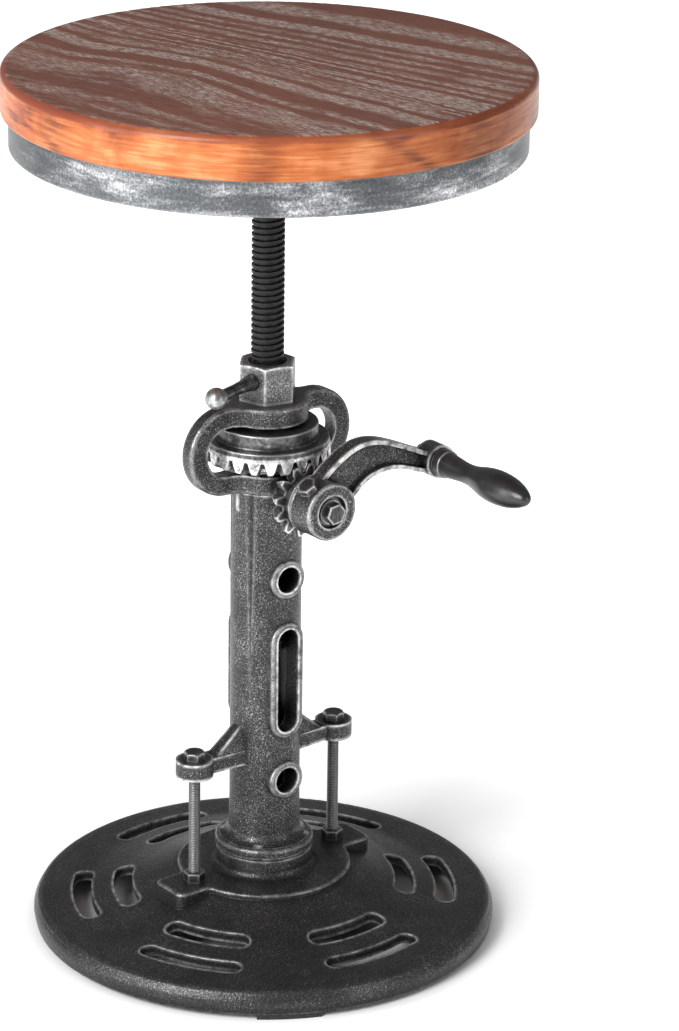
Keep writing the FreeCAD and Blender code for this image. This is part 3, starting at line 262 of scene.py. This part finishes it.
def black_thread():
    s = Shader("black_thread", Metallic=0.35, Specular_IOR_Level=0.3)
    wear = s.noise(420.0, 3.0, 0.6)
    skin = s.ramp(wear, [(0.35, grey(0.004)), (0.65, grey(0.014))])
    # a faint painted highlight on the thread's edges
    skin = s.mix(s.calc("MULTIPLY", s.edge(0.9 * MM), 0.16), skin, grey(0.06))
    return s.finish(skin, s.span(wear, 0.3, 0.7, 0.5, 0.34), s.bump(wear, 0.08 * MM, 0.4))


def dark_gloss():
    """The grip's smooth dark enamel, a little scuffed."""
    s = Shader("grip_enamel", Metallic=0.55, Coat_Weight=0.25, Coat_Roughness=0.2)
    scuff = s.noise(260.0, 4.0, 0.65)
    cloud = s.noise(45.0, 2.0, 0.5)
    skin = s.ramp(cloud, [(0.3, grey(0.020)), (0.7, grey(0.045))])
    skin = s.mix(s.span(scuff, 0.6, 0.78, 0.0, 0.35), skin, grey(0.2))
    return s.finish(skin, s.span(scuff, 0.35, 0.7, 0.3, 0.42), s.bump(scuff, 0.12 * MM, 0.35))


def hoop_metal():
    """Steel strip with smeared pale brush marks over blue grey; its broad pale and dark patches are
    partly painted reflection.
    """
    s = Shader("hoop_brushed", Metallic=0.7)
    axes = s.axes()
    speck = s.noise(650.0, 4.0, 0.7)
    smear = s.noise(1.0, 4.0, 0.6, at=s.stretch(axes, (26.0, 26.0, 130.0)), warp=0.4)
    # broad pale and dark patches: partly the strip's own tone, partly painted reflection of the lamps
    patch_and_reflection = s.noise(1.0, 2.0, 0.5, at=s.stretch(axes, (9.0, 9.0, 14.0)))
    level = s.calc("ADD", s.calc("MULTIPLY", smear, 0.38), s.calc("MULTIPLY", speck, 0.30))
    level = s.calc("ADD", level, s.calc("MULTIPLY", patch_and_reflection, 0.36))
    skin = s.ramp(level, [(0.42, (0.045, 0.049, 0.053)), (0.51, (0.105, 0.111, 0.117)),
                          (0.58, (0.30, 0.31, 0.32)), (0.65, (0.85, 0.85, 0.86))])
    # painted highlight along the strip's edges, the bright rim under the board
    skin = s.mix(s.calc("MULTIPLY", s.edge(1.6 * MM), 0.6), skin, grey(0.62))
    rough = s.span(level, 0.45, 0.7, 0.36, 0.48)
    return s.finish(skin, rough, s.bump(speck, 0.07 * MM, 0.4))


# Across the board, in millimetres from its middle: how much pale filler each ring of the grain holds
RINGS = [
    (-160, 0.35), (-138, 0.50), (-128, 0.12), (-112, 0.45), (-98, 0.60), (-80, 0.55), (-72, 0.15),
    (-66, 0.65), (-61, 0.55), (-56, 0.02), (-46, 0.05), (-40, 0.80), (-31, 0.85), (-26, 0.08),
    (-20, 0.62), (-14, 0.55), (34, 0.55), (40, 0.12), (45, 0.68), (50, 0.60), (54, 0.08), (60, 0.75),
    (66, 0.12), (74, 0.72), (81, 0.10), (88, 0.80), (98, 0.85), (104, 0.05), (112, 0.08), (120, 0.70),
    (138, 0.62), (146, 0.15)]


def wood():
    """Pine board: limed brown top with its rings along one direction, glossy orange edge."""
    s = Shader("seat_board", Coat_Weight=0.08, Coat_Roughness=0.2, Specular_IOR_Level=0.2)
    u = s.along(math.cos(GRAIN_TURN), math.sin(GRAIN_TURN), 0)
    v = s.along(-math.sin(GRAIN_TURN), math.cos(GRAIN_TURN), 0)
    sway = s.noise(1.0, 2.0, 0.4, at=s.stretch((u, v), (9.0, 7.0)))
    # the rings fan out towards the far side and arch over a knot on the near side
    fan = s.calc("MULTIPLY", u, s.span(v, -0.03, 0.10, 0.015, 0.126, smooth=True))
    arch = s.calc("MULTIPLY", s.hump(u, -0.027, 0.062), s.hump(v, -0.075, 0.055))
    dip = s.calc("MULTIPLY", s.hump(u, -0.115, 0.045), s.hump(v, -0.05, 0.04))
    across = s.calc("SUBTRACT", s.calc("SUBTRACT", v, fan), s.calc("MULTIPLY", arch, 0.020))
    across = s.calc("ADD", across, s.calc("MULTIPLY", dip, 0.010))
    across = s.calc("ADD", across, s.calc("MULTIPLY", s.calc("SUBTRACT", sway, 0.5), 0.010))
    rings = s.ramp(s.span(across, -SEAT_RADIUS, SEAT_RADIUS),
                   [(0.5 + mm * MM / (2 * SEAT_RADIUS), grey(pale)) for mm, pale in RINGS])
    # from about -12 to 32 mm the rings lie too close to list, and noise lines stand in for them
    fine = s.noise(1.0, 2.0, 0.6, at=s.stretch((u, across), (4.0, 240.0), 9.0))
    fine = s.span(fine, 0.42, 0.58, 0.05, 0.95)
    tight = s.calc("MULTIPLY", s.span(across, -0.014, -0.010), s.span(across, 0.030, 0.034, 1.0, 0.0))
    level = s.add("ShaderNodeMix")
    s.put(tight, level.inputs[0])
    s.put(rings, level.inputs[2])
    s.put(fine, level.inputs[3])
    gaps = s.noise(1.0, 3.0, 0.6, at=s.stretch((u, across), (26.0, 120.0), 3.0))
    gaps = s.calc("MULTIPLY", s.calc("SUBTRACT", gaps, 0.5), 1.3)
    limed = s.calc("ADD", level.outputs[0], gaps)
    limed = s.span(limed, 0.30, 0.72)
    dashes = s.noise(1.0, 3.0, 0.65, at=s.stretch((u, v), (150.0, 800.0)))
    limed = s.calc("MULTIPLY", limed, s.span(dashes, 0.43, 0.58, 0.04, 1.0))
    warmth = s.noise(9.0, 2.0, 0.5)
    brown = s.ramp(warmth, [(0.35, (0.175, 0.062, 0.040)), (0.65, (0.225, 0.080, 0.050))])
    pores = s.noise(1.0, 2.0, 0.6, at=s.stretch((u, v), (60.0, 700.0), 5.0))
    brown = s.mix(s.span(pores, 0.54, 0.66, 0.0, 0.6), brown, (0.060, 0.024, 0.020))
    top = s.mix(s.calc("MULTIPLY", limed, 0.85), brown, (0.54, 0.46, 0.41))

    # the board's edge: streaks round it, darker where knots come out
    ahead = s.along(math.cos(CAMERA_TURN), math.sin(CAMERA_TURN), 0)
    aside = s.along(-math.sin(CAMERA_TURN), math.cos(CAMERA_TURN), 0)
    angle = s.calc("MULTIPLY", s.calc("ARCTAN2", aside, ahead), math.degrees(1.0))
    axes = s.axes()
    z = axes[2]
    streak = s.noise(1.0, 4.0, 0.6, at=s.stretch(axes, (28.0, 28.0, 420.0)))
    blotch = s.noise(1.0, 3.0, 0.55, at=s.stretch(axes, (24.0, 24.0, 30.0)), warp=0.5)
    tone = s.calc("ADD", s.calc("MULTIPLY", streak, 0.45), s.calc("MULTIPLY", blotch, 0.55))
    side = s.ramp(tone, [(0.36, (0.17, 0.038, 0.012)), (0.45, (0.38, 0.096, 0.028)),
                         (0.54, (0.50, 0.148, 0.046)), (0.64, (0.68, 0.27, 0.110))])
    lean = s.calc("ADD", angle, s.calc("MULTIPLY", s.calc("SUBTRACT", z, SEAT_TOP - 14 * MM), 500.0))
    knots = s.hump(angle, -50.0, 5.0)
    for middle, width in ((-1.0, 4.0), (50.0, 6.0)):
        knots = s.calc("MAXIMUM", knots, s.calc("MULTIPLY", s.hump(angle, middle, width), 0.8))
    knots = s.calc("MAXIMUM", knots, s.hump(lean, 29.0, 2.2))
    knots = s.calc("MULTIPLY", knots, s.span(streak, 0.3, 0.6, 0.9, 0.35))
    side = s.mix(knots, side, (0.10, 0.024, 0.012))
    band_low = s.calc("ADD", SEAT_TOP - 6.5 * MM, s.calc("MULTIPLY", blotch, 3.0 * MM))
    lip = s.calc("MULTIPLY", s.span(s.calc("SUBTRACT", z, band_low), -0.6 * MM, 1.0 * MM),
                 s.span(angle, -30.0, -45.0, 0.6, 0.95))
    side = s.mix(lip, side, (0.20, 0.050, 0.030))
    geometry = s.add("ShaderNodeNewGeometry")
    facing = s.add("ShaderNodeVectorMath", operation="DOT_PRODUCT")
    s.put(geometry.outputs["Normal"], facing.inputs[0])
    facing.inputs[1].default_value = (0, 0, 1)
    upward = s.span(facing.outputs["Value"], 0.86, 0.97)
    skin = s.mix(upward, side, top)
    relief = s.calc("MULTIPLY", s.calc("SUBTRACT", 1.0, limed), upward)
    rough = s.add("ShaderNodeMix")
    s.put(upward, rough.inputs[0])
    s.put(s.span(streak, 0.3, 0.7, 0.36, 0.26), rough.inputs[2])
    s.put(s.span(limed, 0.0, 1.0, 0.45, 0.7), rough.inputs[3])
    normal = s.bump(relief, 0.18 * MM, 0.8)
    normal = s.bump(streak, 0.10 * MM, 0.25, normal)
    return s.finish(skin, rough.outputs[0], normal)


def bronze():
    s = Shader("bronze", Metallic=1.0)
    cloud = s.noise(160.0, 3.0, 0.6)
    skin = s.ramp(cloud, [(0.35, (0.34, 0.20, 0.09)), (0.65, (0.55, 0.36, 0.18))])
    return s.finish(skin, s.span(cloud, 0.3, 0.7, 0.42, 0.28), s.bump(cloud, 0.05 * MM, 0.4))


def rubber():
    s = Shader("pad_rubber")
    dust = s.noise(500.0, 3.0, 0.6)
    skin = s.ramp(dust, [(0.4, grey(0.010)), (0.7, grey(0.028))])
    return s.finish(skin, s.span(dust, 0.3, 0.7, 0.75, 0.6), s.bump(dust, 0.1 * MM, 0.4))


# the base is the column's iron with dimmer flecks and edges: painted shade
SHADED_BASE_IRON = casting("base_iron_shaded", 0.026, 0.050, 0.120, 0.50, grain=1000.0)
IRON = casting("column_iron", 0.022, 0.060, 0.22, 0.85, grain=1100.0)
CRANK = casting("crank_iron", 0.022, 0.060, 0.22, 0.85, grain=1100.0)
GEAR = gear_metal()
PINION = machined("pinion_steel", 0.07, 0.26, 0.85, streak=(0, 1, 0))
STEEL = machined("dark_steel", 0.035, 0.12, 0.55)
COLLAR = casting("collar_iron", 0.055, 0.15, 0.36, 0.85, grain=1100.0)
LOCK = lock_metal()
THREAD = black_thread()
HOOP = hoop_metal()
WOOD = wood()
GRIP = dark_gloss()
BRONZE = bronze()
RUBBER = rubber()

LOOKS = {
    "base_plate": SHADED_BASE_IRON, "column": IRON, "gear_yoke": IRON, "crank_arm": CRANK, "swivel_hub": IRON,
    "bevel_gear": GEAR, "pinion": PINION, "foot_pads": RUBBER, "seat_wood": WOOD, "seat_hoop": HOOP,
    "hex_collar": COLLAR, "lock_screw": LOCK, "grip": GRIP, "lift_screw": THREAD,
    "guide_bush": BRONZE, "gear_nut": BRONZE, "lock_pad": BRONZE, "swivel_washer": BRONZE,
}
for name, node in nodes.items():
    node.data.materials.clear()
    node.data.materials.append(LOOKS.get(name, STEEL))


# Mesh helpers
def new_object(name, bm, material, sharp=35.0):
    """Put the mesh in the scene, shaded smooth but for edges over the sharp angle in degrees."""
    mesh = bpy.data.meshes.new(name)
    bmesh.ops.recalc_face_normals(bm, faces=bm.faces)
    for edge in bm.edges:
        if len(edge.link_faces) == 2 and edge.calc_face_angle(0.0) > math.radians(sharp):
            edge.smooth = False
    for face in bm.faces:
        face.smooth = True
    bm.to_mesh(mesh)
    bm.free()
    mesh.materials.append(material)
    piece = bpy.data.objects.new(name, mesh)
    bpy.context.scene.collection.objects.link(piece)
    return piece


def add_lathe(bm, profile, centre=(0.0, 0.0), segments=64):
    """Turn (radius, height) points about a vertical axis; points on the axis close the form."""
    rings = []
    for r, z in profile:
        if r < 1e-7:
            rings.append([bm.verts.new((centre[0], centre[1], z))])
            continue
        ring = []
        for i in range(segments):
            a = 2 * math.pi * i / segments
            ring.append(bm.verts.new((centre[0] + r * math.cos(a), centre[1] + r * math.sin(a), z)))
        rings.append(ring)
    for low, high in zip(rings, rings[1:]):
        for i in range(segments):
            j = (i + 1) % segments
            if len(low) == 1 and len(high) == 1:
                continue
            if len(low) == 1:
                bm.faces.new((low[0], high[j], high[i]))
            elif len(high) == 1:
                bm.faces.new((low[i], low[j], high[0]))
            else:
                bm.faces.new((low[i], low[j], high[j], high[i]))


def fill_ends(bm):
    edges = [edge for edge in bm.edges if edge.is_boundary]
    bmesh.ops.holes_fill(bm, edges=edges, sides=0)


def thread_profile(crest, root, flat, slope):
    """(share of the pitch, radius) of one thread, crest first."""
    return [(0.0, crest), (flat, crest), (flat + slope, root), (1.0 - slope, root), (1.0, crest)]


def add_threaded_rod(bm, profile, pitch, z0, z1, end_r, centre, segments):
    """Closed rod with a right-hand helical thread that runs out to end_r at both ends."""
    turns = int(math.ceil((z1 - z0) / pitch)) + 1
    run = 0.6 * pitch

    def vertex(i, k):
        share, r = profile[k]
        z = z0 + pitch * (i / segments - 1.0 + share)
        a = 2 * math.pi * i / segments
        keep = max(0.0, min(1.0, (z - z0) / run, (z1 - z) / run))
        r = end_r + (r - end_r) * keep
        z = min(max(z, z0), z1)
        return bm.verts.new((centre[0] + r * math.cos(a), centre[1] + r * math.sin(a), z))

    last = None
    for i in range((turns + 1) * segments + 1):
        row = [vertex(i, k) for k in range(len(profile))]
        if last:
            for k in range(len(profile) - 1):
                bm.faces.new((last[k], row[k], row[k + 1], last[k + 1]))
        last = row
    bmesh.ops.remove_doubles(bm, verts=bm.verts, dist=1e-6)
    bmesh.ops.dissolve_degenerate(bm, edges=bm.edges, dist=1e-6)
    fill_ends(bm)


def add_hexagon(bm, flats, low, high, centre, turn, chamfer):
    """Hexagon head between two heights whose upper corners are turned off by a cone."""
    corner = flats / math.sqrt(3)
    inner = flats / 2
    top_r = inner * 0.96
    count = 48      # points round the head, eight to a side
    rings = {"bottom": [], "side": [], "top": []}
    for k in range(count):
        a = 2 * math.pi * k / count
        fold = (a % (math.pi / 3)) - math.pi / 6
        r = inner / math.cos(fold)
        drop = (r - inner) / (corner - inner) * chamfer
        x, y = math.cos(a + turn), math.sin(a + turn)
        rings["bottom"].append(bm.verts.new((centre[0] + r * x, centre[1] + r * y, low)))
        side_z = high - drop - 0.1 * chamfer
        rings["side"].append(bm.verts.new((centre[0] + r * x, centre[1] + r * y, side_z)))
        rings["top"].append(bm.verts.new((centre[0] + top_r * x, centre[1] + top_r * y, high)))
    for a, b in (("bottom", "side"), ("side", "top")):
        for i in range(count):
            j = (i + 1) % count
            bm.faces.new((rings[a][i], rings[a][j], rings[b][j], rings[b][i]))
    bm.faces.new(rings["top"])
    bm.faces.new(list(reversed(rings["bottom"])))


# Tie bolts with real threads
TIE_PITCH = 1.25 * MM
TIE_ROOT = 3.3 * MM
TIE_LOW = 30.2 * MM
tie_profile = thread_profile(3.97 * MM, TIE_ROOT, 0.12, 0.4)
bm = bmesh.new()
for side in (1, -1):
    centre = (side * ROD_X, 0.0)
    rod = bmesh.new()
    add_threaded_rod(rod, tie_profile, TIE_PITCH, TIE_LOW, LUG_TOP - 1 * MM, TIE_ROOT, centre, 28)
    made = bpy.data.meshes.new("rod")
    rod.to_mesh(made)
    rod.free()
    bm.from_mesh(made)
    bpy.data.meshes.remove(made)
    add_lathe(bm, [(0, LUG_TOP - 4 * MM), (3.9 * MM, LUG_TOP - 4 * MM), (3.9 * MM, LUG_TOP + 0.3 * MM),
                   (0, LUG_TOP + 0.3 * MM)], centre, 28)
    add_hexagon(bm, 13 * MM, LUG_TOP + 0.05 * MM, LUG_TOP + 5.6 * MM, centre, math.radians(12),
                0.9 * MM)
ties = new_object("tie_bolt_pair", bm, STEEL, sharp=30)
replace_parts(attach(ties, "frame"), "tie_bolts")

# Lift screw: coarse helical thread with its keyway cut in, then the plain end, collar and journal
LIFT_PITCH = 4.233 * MM
lift_profile = thread_profile(11.1 * MM, 9.2 * MM, 0.38, 0.12)
bm = bmesh.new()
add_threaded_rod(bm, lift_profile, LIFT_PITCH, SCREW_LOW + 7.5 * MM, SHOULDER - 8.0 * MM, 9.6 * MM,
                 (0.0, 0.0), 56)
blank = new_object("thread_blank", bm, THREAD, sharp=30)

bm = bmesh.new()
bmesh.ops.create_cube(bm, size=1.0)
box_low = Vector((-2 * MM, 8.9 * MM, SCREW_LOW + 6 * MM))
box_high = Vector((2 * MM, 14 * MM, SHOULDER - 18 * MM))
bmesh.ops.scale(bm, vec=box_high - box_low, verts=bm.verts)
bmesh.ops.translate(bm, vec=(box_high + box_low) / 2, verts=bm.verts)
cutter = new_object("keyway_cutter", bm, THREAD)
cut = blank.modifiers.new("keyway", "BOOLEAN")
cut.operation = "DIFFERENCE"
cut.object = cutter
cut.solver = "EXACT"
bpy.context.view_layer.update()
graph = bpy.context.evaluated_depsgraph_get()
cut_mesh = bpy.data.meshes.new_from_object(blank.evaluated_get(graph))
bpy.data.objects.remove(blank)
bpy.data.objects.remove(cutter)

bm = bmesh.new()
bm.from_mesh(cut_mesh)
bpy.data.meshes.remove(cut_mesh)
journal = SHOULDER + 29.06 * MM
add_lathe(bm, [(0, SCREW_LOW), (8.3 * MM, SCREW_LOW), (8.5 * MM, SCREW_LOW + 0.2 * MM),
               (8.5 * MM, SCREW_LOW + 8 * MM), (0, SCREW_LOW + 8 * MM)])
add_lathe(bm, [(0, SHOULDER - 9 * MM), (16.3 * MM, SHOULDER - 8 * MM),
               (17.2 * MM, SHOULDER - 7.6 * MM), (17.5 * MM, SHOULDER - 6.8 * MM),
               (17.5 * MM, SHOULDER - 0.6 * MM), (17.0 * MM, SHOULDER), (9.95 * MM, SHOULDER),
               (9.95 * MM, journal), (7.9 * MM, journal), (7.9 * MM, journal + 15 * MM),
               (7.2 * MM, journal + 15.7 * MM), (0, journal + 15.7 * MM)])
thread = new_object("lift_thread", bm, THREAD, sharp=30)
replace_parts(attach(thread, "lift"), "lift_screw")

# Floor: it glows white to the camera, but not under the foot and only a little close round it, where
# the shadow has to show. The numbers are metres from the column's axis, and the least glow.
FLOOR_RADIUS = 9.0
GLOW_START, GLOW_FULL, GLOW_LEAST = 0.165, 0.50, 0.30
FOOT_EDGE = 0.156, 0.170
bm = bmesh.new()
bmesh.ops.create_circle(bm, cap_ends=True, segments=96, radius=FLOOR_RADIUS)
ground = Shader("floor_paint", Roughness=0.9)
cloud = ground.noise(0.8, 1.0, 0.4)
paper = ground.ramp(cloud, [(0.2, grey(0.86)), (0.8, grey(0.88))])
ground.finish(paper)
glow = ground.add("ShaderNodeEmission")
glow.inputs["Color"].default_value = (1, 1, 1, 1)
rays = ground.add("ShaderNodeLightPath")
seen = ground.calc("MAXIMUM", rays.outputs["Is Camera Ray"], rays.outputs["Is Glossy Ray"])
seen = ground.calc("MAXIMUM", seen, rays.outputs["Is Transmission Ray"])
far = ground.add("ShaderNodeVectorMath", operation="LENGTH")
ground.put(ground.coords, far.inputs[0])
fade = ground.span(far.outputs["Value"], GLOW_START, GLOW_FULL, GLOW_LEAST, 1.0,
                   smooth=True)
outside = ground.span(far.outputs["Value"], *FOOT_EDGE)
strength = ground.calc("MULTIPLY", seen, ground.calc("MULTIPLY", fade, outside))
ground.put(strength, glow.inputs["Strength"])
both = ground.add("ShaderNodeAddShader")
ground.put(ground.bsdf.outputs[0], both.inputs[0])
ground.put(glow.outputs[0], both.inputs[1])
ground.put(both.outputs[0], ground.output.inputs[0])
floor = new_object("floor", bm, ground.material)

# World: white behind the object, dim as a light
WORLD_LIGHT, WORLD_SEEN = 0.24, 1.0
world = bpy.data.worlds.new("studio")
bpy.context.scene.world = world
world.use_nodes = True
tree = world.node_tree
back = tree.nodes["Background"]
back.inputs["Color"].default_value = (1, 1, 1, 1)
rays = tree.nodes.new("ShaderNodeLightPath")
seen = tree.nodes.new("ShaderNodeMath")
seen.operation = "MAXIMUM"
tree.links.new(rays.outputs["Is Camera Ray"], seen.inputs[0])
tree.links.new(rays.outputs["Is Transmission Ray"], seen.inputs[1])
level = tree.nodes.new("ShaderNodeMapRange")
level.inputs[3].default_value = WORLD_LIGHT
level.inputs[4].default_value = WORLD_SEEN
tree.links.new(seen.outputs[0], level.inputs[0])
tree.links.new(level.outputs[0], back.inputs["Strength"])


def lamp(name, azimuth, distance, height, aim, power, width, tall):
    """Softbox at an azimuth round the column, turned to a point on its axis."""
    data = bpy.data.lights.new(name, "AREA")
    data.shape = "RECTANGLE"
    data.size = width
    data.size_y = tall
    data.energy = power
    light = bpy.data.objects.new(name, data)
    a = math.radians(azimuth)
    light.location = (distance * math.cos(a), distance * math.sin(a), height)
    light.rotation_mode = "QUATERNION"
    light.rotation_quaternion = (Vector((0, 0, aim)) - light.location).to_track_quat("-Z", "Y")
    bpy.context.scene.collection.objects.link(light)


# seen from the camera, at azimuth -127, key and side stand on the left and fill on the right
lamp("key", -164, 2.0, 1.35, 0.33, 62, 0.9, 1.3)
lamp("fill", -72, 2.4, 0.9, 0.33, 15, 0.9, 1.4)
lamp("side", 165, 2.2, 0.8, 0.33, 16, 0.5, 1.4)

# Camera, fitted to the photo's edges
FOCAL, SENSOR, CLIP = 146.692, 36.0, 30.0
EYE = (-1.57715358, -2.12821547, 1.30323633)
LOOK = (0.5706118, 0.74076062, -0.35450795)
RIGHT = (0.79512987, -0.60630117, 0.01293751)
camera = bpy.data.cameras.new("view")
camera.lens = FOCAL
camera.sensor_width = SENSOR
camera.clip_end = CLIP
viewer = bpy.data.objects.new("view", camera)
bpy.context.scene.collection.objects.link(viewer)
look = Vector(LOOK).normalized()
right = Vector(RIGHT)
right = (right - look * right.dot(look)).normalized()
up = right.cross(look)
viewer.matrix_world = Matrix((
    (right.x, up.x, -look.x, EYE[0]),
    (right.y, up.y, -look.y, EYE[1]),
    (right.z, up.z, -look.z, EYE[2]),
    (0, 0, 0, 1)))
bpy.context.scene.camera = viewer
bpy.context.scene.view_settings.view_transform = "Standard"
